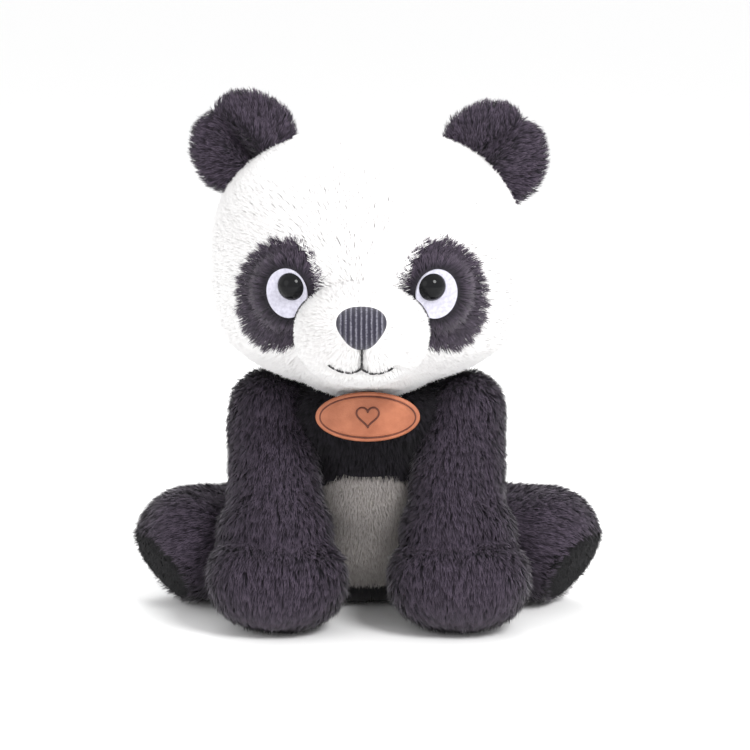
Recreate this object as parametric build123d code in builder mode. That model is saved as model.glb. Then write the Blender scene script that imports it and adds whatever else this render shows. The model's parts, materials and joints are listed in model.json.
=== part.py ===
"""A sitting plush panda, in millimetres.

+Z is up and the panda faces -Y.  The origin is the middle of the flat seat, on the floor.
"left" is the panda's own left, which is +X.  Each soft piece is a fabric cover around its stuffing.
"""
from build123d import *
import math
import os

# ---- driving dimensions -------------------------------------------------------------------------
CLOTH = 2.5          # plush cover, with its pile pressed flat
GAP = 0.6            # between two pieces that move past each other
SIDES = {"right": -1, "left": 1}

# head: turned about X, a little squarer than an egg
HEAD_CENTRE = (0, -5, 158)
HEAD_HALF_WIDTH = 70.5
HEAD_RADIUS = 60
HEAD_CAP = 58        # radius of the round cheek at each side
FACE_X = -2.5        # the face looks a little to the panda's right

MUZZLE_CENTRE = (FACE_X, -60, 134.5)
MUZZLE_HALF_WIDTH = 29.5
MUZZLE_RADIUS = 23.8
MUZZLE_CAP = 20

NOSE_WIDTH = 21.5
NOSE_HEIGHT = 17.5
NOSE_TOP_Z = 147.5
NOSE_CLOTH = 1.0
NOSE_PADDING = 2.0

EYE_X = 31.4         # from the middle of the face
EYE_Z = 150.7
FELT_HALF_WIDTH = 9.2
FELT_HALF_HEIGHT = 10.7
FELT = 1.2
BUTTON_RADIUS = 6.0
BUTTON_DOME = 4.2
BUTTON_IN = 2.1      # from the middle of the felt, towards the nose
BUTTON_UP = 3.1
SHANK_RADIUS = 1.5
SHANK_LENGTH = 9.0
WASHER_RADIUS = 7.0
WASHER = 1.4
PATCH_X = 34.5
PATCH_Z = 149.0
PATCH_HALF_WIDTH = 18.0
PATCH_HALF_HEIGHT = 24.5
PATCH_TILT = 12      # degrees, the top leaning towards the nose

MOUTH_Z = 121.0
MOUTH_HALF_WIDTH = 13.5
THREAD_RADIUS = 0.6

# ears: a lens on each side of the head, bent about a line just under the head's surface
EAR_RADIUS = 25.5
EAR_HALF_THICKNESS = 6.5
EAR_SUNK = 9.0       # from the ear's middle down to its bending line
EAR_Y = 2.0
EAR_MIDDLE = {"right": (-54, 208), "left": (55, 203.5)}     # x, z
EAR_SLOPE = {"right": 40, "left": -44}                      # degrees, of the bending line
EAR_BEND = 15
EAR_FOOT = 0.93      # radius of the rolled foot, as a share of the half thickness

# neck: a ball of stuffing in its cover, between the torso's cup and the head's socket
NECK_CENTRE = (0, -3, 106)
NECK_RADIUS = 24

# torso: a pear turned about an axis that leans forward
SEAT_Y = 18
TORSO_LEAN = 9.7     # degrees
SEAT_RADIUS = 30
BELLY_RADIUS = 43
BELLY_AT = 28
CHEST_RADIUS = 36
CHEST_AT = 72
TORSO_TOP = 97
COLLAR_RADIUS = 27
COLLAR_ABOVE = 8     # the pear's outline runs on above its flat top
SEAT_BELOW = 12      # and below its flat seat
SEAT_OUTLINE = 2.4   # where that outline starts, below the seat
PANEL_Z = 39
PANEL_HALF_WIDTH = 26
PANEL_HALF_HEIGHT = 27
PELLET_BAG_RADIUS = 22
PELLET_BAG_LOW = 3
PELLET_BAG_TOP = 24
PELLET_BAG_EDGE = 5  # how far its rounded rim stands out from its flat faces

# arms: shoulder ball, tapered sleeve, wide paw resting on the floor
SHOULDER = (45, -8, 84.5)
SHOULDER_RADIUS = 20.5
SHOULDER_ROOM = 1.6  # behind the arm, so that it leaves the torso as it swings
POCKET_INNER = 21    # x of the torso's face beside the arm
PAW_CENTRE = (39.5, -49, 23.7)
WRIST_RADIUS = 22.5
PAW_HALF_WIDTH = 31
PAW_RADIUS = 23.5
PAW_CAP = 22
ARM_BACK_WIDTH = 26.2    # from the arm's axis to the torso's cut, beside the paw

# legs: hip ball, sleeve, foot with a sole pad that faces out, forward and down
HIP = (45, 20.5, 26.4)
HIP_RADIUS = 25.2
FOOT_CENTRE = (80, -2, 28)
FOOT_RADIUS = 27
SOLE_FACES = (0.72, -0.5, -0.48)
SOLE_AT = 16.5
SOLE_RADIUS = 20
SOLE = 2.6
FAR = 120            # longer than any cut needs to be

TAIL_CENTRE = (0, 65, 27)
TAIL_RADIUS = 13
TAIL_ROOM = 2.8      # the ball's travel and its gap

# leather tag, hung from a strap sewn into the neck seam
TAG_FRONT_Y = -42.6
TAG_CENTRE_Z = 94
TAG_HALF_WIDTH = 22.7
TAG_HALF_HEIGHT = 11
TAG_LEATHER = 1.3
TAG_BACKING = 0.9
STRAP_WIDTH = 11
STRAP = 1.2
STRAP_LINE = ((-26, 97.8), (-31, 99.8), (-35.5, 102.6))     # y, z, from the neck seam forward
STRAP_TOP_Z = 103.2
STRAP_LOW_Z = 99.5

LABEL_WIDTH = 12
LABEL_LENGTH = 20
LABEL = 0.8
LABEL_SEAM = (20, 46, 14)    # the inner end of its middle line, inside the seam


# ---- shapes that come up again and again --------------------------------------------------------
def turned_egg(centre, half_width, radius, cap, inset=0):
    """A closed form turned about X: a round cap of radius `cap` at each side, one long arc between."""
    caps_at = half_width - cap
    long_arc = (caps_at**2 + radius**2 - cap**2) / (2 * (radius - cap))
    below = long_arc - radius
    reach = math.hypot(caps_at, below)
    meet = (long_arc * caps_at / reach, long_arc * below / reach - below)
    half_turn = math.atan2(meet[1], meet[0] - caps_at) / 2
    on_cap = (caps_at + cap * math.cos(half_turn), cap * math.sin(half_turn))
    towards = Vector(meet[0], meet[1] + below).normalized() * inset
    side, middle, up = half_width - inset, radius - inset, (cap - inset) / cap
    corner = (meet[0] - towards.X, meet[1] - towards.Y)
    on_cap = (caps_at + (on_cap[0] - caps_at) * up, on_cap[1] * up)
    with BuildPart() as egg:
        with BuildSketch(Plane(origin=centre, x_dir=(1, 0, 0), z_dir=(0, -1, 0))):
            with BuildLine():
                ThreePointArc((-side, 0), (-on_cap[0], on_cap[1]), (-corner[0], corner[1]))
                ThreePointArc((-corner[0], corner[1]), (0, middle), corner)
                ThreePointArc(corner, on_cap, (side, 0))
                Line((side, 0), (-side, 0))
            make_face()
        revolve(axis=Axis(centre, (1, 0, 0)))
    return egg.part


def ball(centre, radius):
    with BuildPart() as solid:
        with Locations(centre):
            Sphere(radius)
    return solid.part


def limb(start, end, start_radius, end_radius):
    """A round limb: a ball at each end and the tapered sleeve that wraps both, turned about its axis."""
    run = Vector(*end) - Vector(*start)
    lean_in = (end_radius - start_radius) / run.length
    out = math.sqrt(1 - lean_in**2)
    near = (-start_radius * lean_in, start_radius * out)
    far = (run.length - end_radius * lean_in, end_radius * out)
    slant = math.sqrt(0.5)
    with BuildPart() as solid:
        with BuildSketch(Plane(origin=start, x_dir=run, z_dir=run.cross(Vector(1, 0, 0)))):
            with BuildLine():
                ThreePointArc((-start_radius, 0), (-start_radius * slant, start_radius * slant), near)
                Line(near, far)
                ThreePointArc(
                    far, (run.length + end_radius * slant, end_radius * slant),
                    (run.length + end_radius, 0),
                )
                Line((run.length + end_radius, 0), (-start_radius, 0))
            make_face()
        revolve(axis=Axis(start, run))
    return solid.part


def rod(centre, direction, radius, length):
    """A round bar, centred on a point."""
    with BuildPart() as solid:
        with BuildSketch(Plane(origin=centre, z_dir=direction)):
            Circle(radius)
        extrude(amount=length / 2, both=True)
    return solid.part


def combined(first, others, mode=Mode.ADD):
    """One solid from a first one and a list of others, joined or cut away."""
    with BuildPart() as solid:
        add(first)
        for other in others:
            add(other, mode=mode)
    return solid.part


def to_side(point, side):
    """A point given for the left side, moved to either side."""
    return (side * point[0], point[1], point[2])


def write(node, label):
    node.part.label = label
    export_step(node.part, f"parts/{label}.step")


os.makedirs("parts", exist_ok=True)


# ---- head shape, and points on it ---------------------------------------------------------------
def head_radius(x):
    """The head's radius about its axis, at x."""
    caps_at = HEAD_HALF_WIDTH - HEAD_CAP
    long_arc = (caps_at**2 + HEAD_RADIUS**2 - HEAD_CAP**2) / (2 * (HEAD_RADIUS - HEAD_CAP))
    below = long_arc - HEAD_RADIUS
    if abs(x) < long_arc * caps_at / math.hypot(caps_at, below):
        return math.sqrt(long_arc**2 - x**2) - below
    return math.sqrt(HEAD_CAP**2 - (abs(x) - caps_at) ** 2)


def face_plane(x, z, inward=0.0):
    """The plane that touches the face at x, z, moved inward along its own normal."""
    radius = head_radius(x)
    rise = z - HEAD_CENTRE[2]
    forward = math.sqrt(radius**2 - rise**2)
    slope = (head_radius(abs(x) + 0.5) - head_radius(abs(x) - 0.5)) * math.copysign(1, x)
    normal = Vector(-slope, -forward / radius, rise / radius).normalized()
    touch = Vector(x, HEAD_CENTRE[1] - forward, z)
    across = Vector(0, 0, 1).cross(normal).normalized()
    return Plane(origin=touch - normal * inward, x_dir=across, z_dir=normal)


head_size = (HEAD_CENTRE, HEAD_HALF_WIDTH, HEAD_RADIUS, HEAD_CAP)
muzzle_size = (MUZZLE_CENTRE, MUZZLE_HALF_WIDTH, MUZZLE_RADIUS, MUZZLE_CAP)
head_outside = turned_egg(*head_size)
head_inside = turned_egg(*head_size, inset=CLOTH)
muzzle_outside = turned_egg(*muzzle_size)
muzzle_inside = turned_egg(*muzzle_size, inset=CLOTH)
neck_socket = ball(NECK_CENTRE, NECK_RADIUS + GAP)


# ---- ears: bending line, lens halves, and the slot each needs in the head -----------------------
def ear_plane(name):
    """X along the bending line, Y up the ear, Z to the front."""
    slope = math.radians(EAR_SLOPE[name])
    along = Vector(math.cos(slope), 0, math.sin(slope))
    up = Vector(-math.sin(slope), 0, math.cos(slope))
    middle = Vector(EAR_MIDDLE[name][0], EAR_Y, EAR_MIDDLE[name][1])
    return Plane(origin=middle - up * EAR_SUNK, x_dir=along, z_dir=(0, -1, 0))


def ear_slot(name):
    """Room in the head for the ear's rolled foot and for its swing to each side."""
    base = ear_plane(name)
    side_view = Plane(origin=base.origin, x_dir=base.z_dir, z_dir=base.x_dir)
    foot = EAR_HALF_THICKNESS + GAP
    reach = 2 * EAR_RADIUS
    spread = foot / math.cos(math.radians(EAR_BEND)) + reach * math.tan(math.radians(EAR_BEND))
    up = 1 if side_view.y_dir.dot(base.y_dir) > 0 else -1
    with BuildPart() as slot:
        with BuildSketch(side_view):
            Circle(foot)
            with BuildLine():
                Polyline((-foot, 0), (foot, 0), (spread, up * reach), (-spread, up * reach), close=True)
            make_face()
        extrude(amount=EAR_RADIUS + GAP, both=True)
    return slot.part


def ear_outline(name):
    """The ear's upper part and its rolled foot: what is kept of the lens."""
    base = ear_plane(name)
    keep = 3 * EAR_RADIUS
    with BuildPart() as solid:
        with BuildSketch(base.offset(-EAR_RADIUS)):
            with Locations((0, keep / 2)):
                Rectangle(keep, keep)
        extrude(amount=2 * EAR_RADIUS)
        add(rod(base.origin, base.x_dir, EAR_HALF_THICKNESS * EAR_FOOT, 3 * EAR_RADIUS))
    return solid.part


def ear_half(name, facing):
    """One of the two plush pieces: a half lens, turned about the ear's own middle."""
    base = ear_plane(name)
    middle = base.origin + base.y_dir * EAR_SUNK
    outline = ear_outline(name)
    with BuildPart() as solid:
        with BuildSketch(Plane(origin=middle, x_dir=base.x_dir, z_dir=base.y_dir * facing)):
            with BuildLine():
                EllipticalCenterArc((0, 0), EAR_RADIUS, EAR_HALF_THICKNESS, start_angle=0, arc_size=90)
                Polyline((0, EAR_HALF_THICKNESS), (0, 0), (EAR_RADIUS, 0))
            make_face()
        revolve(axis=Axis(middle, (0, 1, 0)))
        add(outline, mode=Mode.INTERSECT)
    return solid


ear_slots = [ear_slot(name) for name in SIDES]
for name in SIDES:
    write(ear_half(name, -1), f"ear_front_{name}")
    write(ear_half(name, 1), f"ear_back_{name}")


# ---- eyes ---------------------------------------------------------------------------------------
def eye_patch_prism(side):
    with BuildPart() as prism:
        with BuildSketch(Plane.XZ.offset(-HEAD_CENTRE[1] + 30)):
            with Locations((FACE_X + side * PATCH_X, PATCH_Z)):
                Ellipse(PATCH_HALF_WIDTH, PATCH_HALF_HEIGHT, rotation=side * PATCH_TILT)
        extrude(amount=HEAD_RADIUS)
    return prism.part


def button_plane(side, above):
    """The button's own plane, `above` the back of the felt."""
    felt = face_plane(FACE_X + side * EYE_X, EYE_Z)
    shift = felt.x_dir * (-side * BUTTON_IN) + felt.y_dir * BUTTON_UP + felt.z_dir * above
    return Plane(origin=felt.origin + shift, x_dir=felt.x_dir, z_dir=felt.z_dir)


patch_prisms = {name: eye_patch_prism(side) for name, side in SIDES.items()}
washer_back = -(CLOTH + 1.4 + WASHER)
dome_sphere = (BUTTON_RADIUS**2 + BUTTON_DOME**2) / (2 * BUTTON_DOME)
dome_turn = (math.pi / 2 + math.asin((dome_sphere - BUTTON_DOME) / dome_sphere)) / 2
dome_middle = (
    dome_sphere * math.cos(dome_turn),
    BUTTON_DOME - dome_sphere * (1 - math.sin(dome_turn)),
)
eye_holes = []
washer_rooms = []
for name, side in SIDES.items():
    on_felt = button_plane(side, FELT)
    eye_holes.append(rod(on_felt.origin, on_felt.z_dir, SHANK_RADIUS, 2 * SHANK_LENGTH))
    washer_plane = button_plane(side, washer_back + WASHER / 2)
    washer_rooms.append(rod(washer_plane.origin, washer_plane.z_dir, WASHER_RADIUS, WASHER))

    with BuildPart() as felt:
        with BuildSketch(face_plane(FACE_X + side * EYE_X, EYE_Z)):
            Ellipse(FELT_HALF_WIDTH, FELT_HALF_HEIGHT)
        extrude(amount=FELT)
        add(eye_holes[-1], mode=Mode.SUBTRACT)
        add(muzzle_outside, mode=Mode.SUBTRACT)
    write(felt, f"eye_felt_{name}")

    with BuildPart() as button:
        with BuildSketch(Plane(origin=on_felt.origin, x_dir=on_felt.x_dir, z_dir=-on_felt.y_dir)):
            with BuildLine():
                ThreePointArc((BUTTON_RADIUS, 0), dome_middle, (0, BUTTON_DOME))
                Polyline(
                    (0, BUTTON_DOME), (0, -SHANK_LENGTH), (SHANK_RADIUS, -SHANK_LENGTH),
                    (SHANK_RADIUS, 0), (BUTTON_RADIUS, 0),
                )
            make_face()
        revolve(axis=Axis(on_felt.origin, on_felt.z_dir))
    write(button, f"eye_button_{name}")

    with BuildPart() as washer:
        with BuildSketch(button_plane(side, washer_back)):
            Circle(WASHER_RADIUS)
            Circle(SHANK_RADIUS, mode=Mode.SUBTRACT)
        extrude(amount=WASHER)
    write(washer, f"eye_washer_{name}")

    with BuildPart() as eye_patch:
        add(head_outside)
        add(head_inside, mode=Mode.SUBTRACT)
        add(patch_prisms[name], mode=Mode.INTERSECT)
        add(eye_holes[-1], mode=Mode.SUBTRACT)
    write(eye_patch, f"eye_patch_{name}")

# ---- head cover and stuffing --------------------------------------------------------------------
head_cuts = [neck_socket, *ear_slots]
with BuildPart() as head_cover:
    add(head_outside)
    add(head_inside, mode=Mode.SUBTRACT)
    for cut in [*patch_prisms.values(), *head_cuts]:
        add(cut, mode=Mode.SUBTRACT)
write(head_cover, "head_cover")

with BuildPart() as head_stuffing:
    add(head_inside)
    for cut in [*head_cuts, *eye_holes, *washer_rooms]:
        add(cut, mode=Mode.SUBTRACT)
write(head_stuffing, "head_stuffing")

# ---- muzzle, nose and mouth ---------------------------------------------------------------------
with BuildPart() as muzzle_cover:
    add(muzzle_outside)
    add(muzzle_inside, mode=Mode.SUBTRACT)
    add(head_outside, mode=Mode.SUBTRACT)
write(muzzle_cover, "muzzle_cover")

with BuildPart() as muzzle_stuffing:
    add(muzzle_inside)
    add(head_outside, mode=Mode.SUBTRACT)
write(muzzle_stuffing, "muzzle_stuffing")


def nose_prism(inset):
    """A rounded triangle, wide at the top, seen from the front."""
    half = NOSE_WIDTH / 2 - inset
    top = NOSE_TOP_Z - inset
    low = NOSE_TOP_Z - NOSE_HEIGHT + inset
    with BuildPart() as prism:
        with BuildSketch(Plane.XZ.offset(-MUZZLE_CENTRE[1])):
            with BuildLine():
                Spline(
                    (FACE_X, top), (FACE_X + 0.8 * half, top - 2), (FACE_X + half, top - 6),
                    (FACE_X + 0.55 * half, low + 3.5), (FACE_X, low),
                    (FACE_X - 0.55 * half, low + 3.5), (FACE_X - half, top - 6),
                    (FACE_X - 0.8 * half, top - 2), periodic=True,
                )
            make_face()
        extrude(amount=2 * MUZZLE_RADIUS)
    return prism.part


nose_middle = turned_egg(*muzzle_size, inset=-NOSE_PADDING)
nose_outside = turned_egg(*muzzle_size, inset=-NOSE_PADDING - NOSE_CLOTH)
with BuildPart() as nose_padding:
    add(nose_prism(NOSE_CLOTH))
    add(nose_middle, mode=Mode.INTERSECT)
    add(muzzle_outside, mode=Mode.SUBTRACT)
write(nose_padding, "nose_padding")

with BuildPart() as nose_cover:
    add(nose_prism(0))
    add(nose_outside, mode=Mode.INTERSECT)
    add(muzzle_outside, mode=Mode.SUBTRACT)
    add(nose_padding.part, mode=Mode.SUBTRACT)
write(nose_cover, "nose_cover")


def muzzle_front(x, z):
    """The point on the front of the muzzle at x, z, within its long arc."""
    caps_at = MUZZLE_HALF_WIDTH - MUZZLE_CAP
    long_arc = (caps_at**2 + MUZZLE_RADIUS**2 - MUZZLE_CAP**2) / (2 * (MUZZLE_RADIUS - MUZZLE_CAP))
    radius = math.sqrt(long_arc**2 - (x - FACE_X) ** 2) - long_arc + MUZZLE_RADIUS
    return (x, MUZZLE_CENTRE[1] - math.sqrt(radius**2 - (z - MUZZLE_CENTRE[2]) ** 2), z)


def on_thread(x, z):
    """A point of the mouth's thread, lying on the muzzle."""
    touch = Vector(*muzzle_front(x, z))
    return touch + (touch - Vector(*MUZZLE_CENTRE)).normalized() * THREAD_RADIUS


MOUTH_SHAPE = ((-1, 3.2), (-0.72, 0.9), (-0.4, -0.3), (-0.12, 1.3))     # x part, rise
nose_bottom = NOSE_TOP_Z - NOSE_HEIGHT
stitch_lines = [
    [on_thread(FACE_X + side * part * MOUTH_HALF_WIDTH, MOUTH_Z + rise) for part, rise in MOUTH_SHAPE]
    for side in SIDES.values()
]
upright_heights = (nose_bottom - 1, (nose_bottom + MOUTH_Z) / 2, MOUTH_Z + 1.5)
stitch_lines.append([on_thread(FACE_X, z) for z in upright_heights])
threads = []
for points in stitch_lines:
    with BuildPart() as thread:
        with BuildLine():
            path = Spline(*points)
        with BuildSketch(Plane(origin=points[0], z_dir=path % 0)):
            Circle(THREAD_RADIUS)
        sweep(path=path)
    threads.append(thread.part)
with BuildPart() as mouth_stitches:
    for thread in threads:
        add(thread)
    add(muzzle_outside, mode=Mode.SUBTRACT)
write(mouth_stitches, "mouth_stitches")

# ---- neck ---------------------------------------------------------------------------------------
neck_stuffing_ball = ball(NECK_CENTRE, NECK_RADIUS - CLOTH)
with BuildPart() as neck_cover:
    add(ball(NECK_CENTRE, NECK_RADIUS))
    add(neck_stuffing_ball, mode=Mode.SUBTRACT)
write(neck_cover, "neck_cover")
with BuildPart() as neck_stuffing:
    add(neck_stuffing_ball)
write(neck_stuffing, "neck_stuffing")

# ---- arms ---------------------------------------------------------------------------------------
def arm_body(side, inset):
    shoulder, paw = to_side(SHOULDER, side), to_side(PAW_CENTRE, side)
    sleeve = limb(shoulder, paw, SHOULDER_RADIUS - inset, WRIST_RADIUS - inset)
    return combined(sleeve, [turned_egg(paw, PAW_HALF_WIDTH, PAW_RADIUS, PAW_CAP, inset)])


def arm_pocket(side):
    """What the torso leaves free: a drum round the shoulder and all that lies ahead of the arm's back."""
    shoulder = to_side(SHOULDER, side)
    run = Vector(0, PAW_CENTRE[1] - SHOULDER[1], PAW_CENTRE[2] - SHOULDER[2])
    down = run.normalized()
    back = Vector(0, -down.Z, down.Y)
    start = Vector(0, *SHOULDER[1:]) + back * (SHOULDER_RADIUS + SHOULDER_ROOM)
    beside_paw = Vector(0, *PAW_CENTRE[1:]) + back * ARM_BACK_WIDTH
    foot = start + (beside_paw - start) * 1.6
    far = SHOULDER[1] - FAR
    outline = [(start.Y, start.Z), (foot.Y, foot.Z), (far, foot.Z), (far, SHOULDER[2]), SHOULDER[1:]]
    inner = SHOULDER[0] - SHOULDER_RADIUS - GAP
    with BuildPart() as pocket:
        with BuildSketch(Plane.YZ.offset(side * POCKET_INNER)):
            Polygon(*outline, align=None)
        extrude(amount=side * FAR)
        with BuildSketch(Plane.YZ.offset(side * inner)):
            with Locations(SHOULDER[1:]):
                Circle(SHOULDER_RADIUS + GAP)
        extrude(amount=side * FAR)
    return pocket.part


for name, side in SIDES.items():
    stuffing = arm_body(side, CLOTH)
    with BuildPart() as arm_cover:
        add(arm_body(side, 0))
        add(stuffing, mode=Mode.SUBTRACT)
    write(arm_cover, f"arm_cover_{name}")
    with BuildPart() as arm_stuffing:
        add(stuffing)
    write(arm_stuffing, f"arm_stuffing_{name}")


# ---- legs ---------------------------------------------------------------------------------------
def leg_body(side, inset):
    hip, foot = to_side(HIP, side), to_side(FOOT_CENTRE, side)
    facing = Vector(side * SOLE_FACES[0], *SOLE_FACES[1:]).normalized()
    sole_plane = Plane(origin=Vector(*foot) + facing * (SOLE_AT - inset), z_dir=facing)
    whole = limb(hip, foot, HIP_RADIUS - inset, FOOT_RADIUS - inset)
    with BuildPart() as cut:
        with BuildSketch(sole_plane):
            Circle(2 * FOOT_RADIUS)
        extrude(amount=FOOT_RADIUS)
    return combined(whole, [cut.part], Mode.SUBTRACT)


def leg_pocket(side):
    """What the torso leaves free for the leg's hip and sleeve."""
    hip, foot = to_side(HIP, side), to_side(FOOT_CENTRE, side)
    return limb(hip, foot, HIP_RADIUS + GAP, FOOT_RADIUS + GAP)


for name, side in SIDES.items():
    stuffing = leg_body(side, CLOTH)
    with BuildPart() as leg_cover:
        add(leg_body(side, 0))
        add(stuffing, mode=Mode.SUBTRACT)
    write(leg_cover, f"leg_cover_{name}")
    with BuildPart() as leg_stuffing:
        add(stuffing)
    write(leg_stuffing, f"leg_stuffing_{name}")
    facing = Vector(side * SOLE_FACES[0], *SOLE_FACES[1:]).normalized()
    foot = Vector(*to_side(FOOT_CENTRE, side))
    with BuildPart() as sole_pad:
        with BuildSketch(Plane(origin=foot + facing * SOLE_AT, z_dir=facing)):
            Circle(SOLE_RADIUS)
        extrude(amount=SOLE)
        rims = sole_pad.edges().filter_by(GeomType.CIRCLE).sort_by(lambda rim: rim.center().dot(facing))
        fillet(rims[-1], SOLE / 2)
    write(sole_pad, f"sole_pad_{name}")


# ---- torso --------------------------------------------------------------------------------------
lean = math.radians(TORSO_LEAN)
torso_axis = Vector(0, -math.sin(lean), math.cos(lean))


def torso_body(inset):
    """The pear, flat on the floor and flat under the head."""
    collar = TORSO_TOP + COLLAR_ABOVE
    across = Vector(1, 0, 0)
    profile = [
        (SEAT_RADIUS - inset, -SEAT_OUTLINE), (BELLY_RADIUS - inset, BELLY_AT),
        (CHEST_RADIUS - inset, CHEST_AT), (COLLAR_RADIUS - inset, collar),
    ]
    corner = (SEAT_RADIUS - inset - SEAT_BELOW, -SEAT_BELOW)
    with BuildPart() as pear:
        with BuildSketch(Plane(origin=(0, SEAT_Y, 0), x_dir=across, z_dir=-torso_axis.cross(across))):
            with BuildLine():
                Spline(*profile, tangents=[(1, 0.9), (-0.5, 1)])
                Polyline(profile[-1], (0, collar), (0, -SEAT_BELOW), corner, profile[0])
            make_face()
        revolve(axis=Axis((0, SEAT_Y, 0), torso_axis))
        split(bisect_by=Plane.XY.offset(inset), keep=Keep.TOP)
        split(bisect_by=Plane.XY.offset(TORSO_TOP - inset), keep=Keep.BOTTOM)
    return pear.part


torso_cuts = [
    ball(NECK_CENTRE, NECK_RADIUS + GAP),
    ball(TAIL_CENTRE, TAIL_RADIUS + TAIL_ROOM),
    *[arm_pocket(side) for side in SIDES.values()],
    *[leg_pocket(side) for side in SIDES.values()],
]
torso_outside = torso_body(0)
torso_inside = torso_body(CLOTH)

with BuildPart() as panel_prism:
    with BuildSketch(Plane.XZ.offset(-SEAT_Y)):
        with Locations((0, PANEL_Z)):
            Ellipse(PANEL_HALF_WIDTH, PANEL_HALF_HEIGHT)
    extrude(amount=FAR)

with BuildPart() as belly_panel:
    add(torso_outside)
    add(torso_inside, mode=Mode.SUBTRACT)
    add(panel_prism.part, mode=Mode.INTERSECT)
    for cut in torso_cuts:
        add(cut, mode=Mode.SUBTRACT)
write(belly_panel, "belly_panel")

with BuildPart() as torso_cover:
    add(torso_outside)
    for cut in [torso_inside, panel_prism.part, *torso_cuts]:
        add(cut, mode=Mode.SUBTRACT)
write(torso_cover, "torso_cover")

flat_radius = PELLET_BAG_RADIUS - PELLET_BAG_EDGE
with BuildPart() as pellet_bag:
    with BuildSketch(Plane.XZ.offset(-SEAT_Y)):
        with BuildLine():
            Line((0, PELLET_BAG_LOW), (flat_radius, PELLET_BAG_LOW))
            EllipticalCenterArc(
                (flat_radius, (PELLET_BAG_LOW + PELLET_BAG_TOP) / 2), PELLET_BAG_EDGE,
                (PELLET_BAG_TOP - PELLET_BAG_LOW) / 2, start_angle=-90, arc_size=180,
            )
            Polyline((flat_radius, PELLET_BAG_TOP), (0, PELLET_BAG_TOP), (0, PELLET_BAG_LOW))
        make_face()
    revolve(axis=Axis((0, SEAT_Y, 0), (0, 0, 1)))
    for side in SIDES.values():
        add(ball(to_side(HIP, side), HIP_RADIUS + 2 * GAP), mode=Mode.SUBTRACT)
write(pellet_bag, "pellet_bag")

with BuildPart() as torso_stuffing:
    add(torso_inside)
    for cut in [pellet_bag.part, *torso_cuts]:
        add(cut, mode=Mode.SUBTRACT)
write(torso_stuffing, "torso_stuffing")

# ---- tail ---------------------------------------------------------------------------------------
tail_inside = ball(TAIL_CENTRE, TAIL_RADIUS - CLOTH)
with BuildPart() as tail_cover:
    add(ball(TAIL_CENTRE, TAIL_RADIUS))
    add(tail_inside, mode=Mode.SUBTRACT)
write(tail_cover, "tail_cover")
with BuildPart() as tail_stuffing:
    add(tail_inside)
write(tail_stuffing, "tail_stuffing")

# ---- tag, strap and label -----------------------------------------------------------------------
with BuildPart() as tag_front:
    with BuildSketch(Plane.XZ.offset(-TAG_FRONT_Y - TAG_LEATHER)):
        with Locations((0, TAG_CENTRE_Z)):
            Ellipse(TAG_HALF_WIDTH, TAG_HALF_HEIGHT)
    extrude(amount=TAG_LEATHER)
write(tag_front, "tag_front")

with BuildPart() as tag_backing:
    with BuildSketch(Plane.XZ.offset(-TAG_FRONT_Y - TAG_LEATHER - TAG_BACKING)):
        with Locations((0, TAG_CENTRE_Z)):
            Ellipse(TAG_HALF_WIDTH - 0.5, TAG_HALF_HEIGHT - 0.5)
    extrude(amount=TAG_BACKING)
write(tag_backing, "tag_backing")

strap_middle = TAG_FRONT_Y + TAG_LEATHER + TAG_BACKING + GAP + STRAP / 2
with BuildPart() as tag_strap:
    with BuildSketch(Plane.YZ):
        with BuildLine():
            Spline(
                *STRAP_LINE, (strap_middle + 0.5, STRAP_TOP_Z), (strap_middle, STRAP_LOW_Z),
            )
        trace(line_width=STRAP)
    extrude(amount=STRAP_WIDTH / 2, both=True)
    add(torso_outside, mode=Mode.SUBTRACT)
write(tag_strap, "tag_strap")

with BuildPart() as care_label:
    with BuildSketch(Plane.XZ.offset(-LABEL_SEAM[1])):
        with Locations((LABEL_SEAM[0], LABEL_SEAM[2])):
            Rectangle(LABEL, LABEL_WIDTH)
    extrude(amount=-LABEL_LENGTH)
    add(torso_outside, mode=Mode.SUBTRACT)
write(care_label, "care_label")
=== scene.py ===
"""The plush panda's looks: padded skins, pile made of real strands, felt, corduroy and leather.

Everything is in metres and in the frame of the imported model; +Z is up, the panda faces -Y.
"""

import json
import math

import bmesh
import bpy
import numpy as np
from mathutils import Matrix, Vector


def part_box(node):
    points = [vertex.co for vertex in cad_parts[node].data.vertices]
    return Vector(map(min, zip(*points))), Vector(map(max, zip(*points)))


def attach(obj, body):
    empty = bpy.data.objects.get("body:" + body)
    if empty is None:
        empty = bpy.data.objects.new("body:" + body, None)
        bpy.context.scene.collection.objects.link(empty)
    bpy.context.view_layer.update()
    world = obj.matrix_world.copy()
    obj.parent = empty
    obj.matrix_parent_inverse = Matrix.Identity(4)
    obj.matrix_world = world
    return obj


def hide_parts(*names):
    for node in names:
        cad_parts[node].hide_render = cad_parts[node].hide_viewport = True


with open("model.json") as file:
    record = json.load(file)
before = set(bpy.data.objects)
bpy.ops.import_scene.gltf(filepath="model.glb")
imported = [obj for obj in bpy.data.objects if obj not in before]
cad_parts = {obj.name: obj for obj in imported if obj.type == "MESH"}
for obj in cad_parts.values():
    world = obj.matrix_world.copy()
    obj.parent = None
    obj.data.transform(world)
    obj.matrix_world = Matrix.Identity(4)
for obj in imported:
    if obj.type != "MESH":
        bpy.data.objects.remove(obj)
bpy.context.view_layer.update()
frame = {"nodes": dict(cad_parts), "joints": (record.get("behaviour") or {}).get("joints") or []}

MM = 0.001
SIDES = {"right": -1, "left": 1}


# ---- places, read from the frame ----------------------------------------------------------------
def corners(*nodes):
    """Lowest and highest corner of some nodes together, as arrays."""
    boxes = [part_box(node) for node in nodes]
    low = np.min([np.array(b[0]) for b in boxes], axis=0)
    high = np.max([np.array(b[1]) for b in boxes], axis=0)
    return low, high


def middle(*nodes):
    low, high = corners(*nodes)
    return (low + high) / 2


def joint_point(name):
    return np.array(next(j["pos_m"] for j in frame["joints"] if j["name"] == name))


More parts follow.
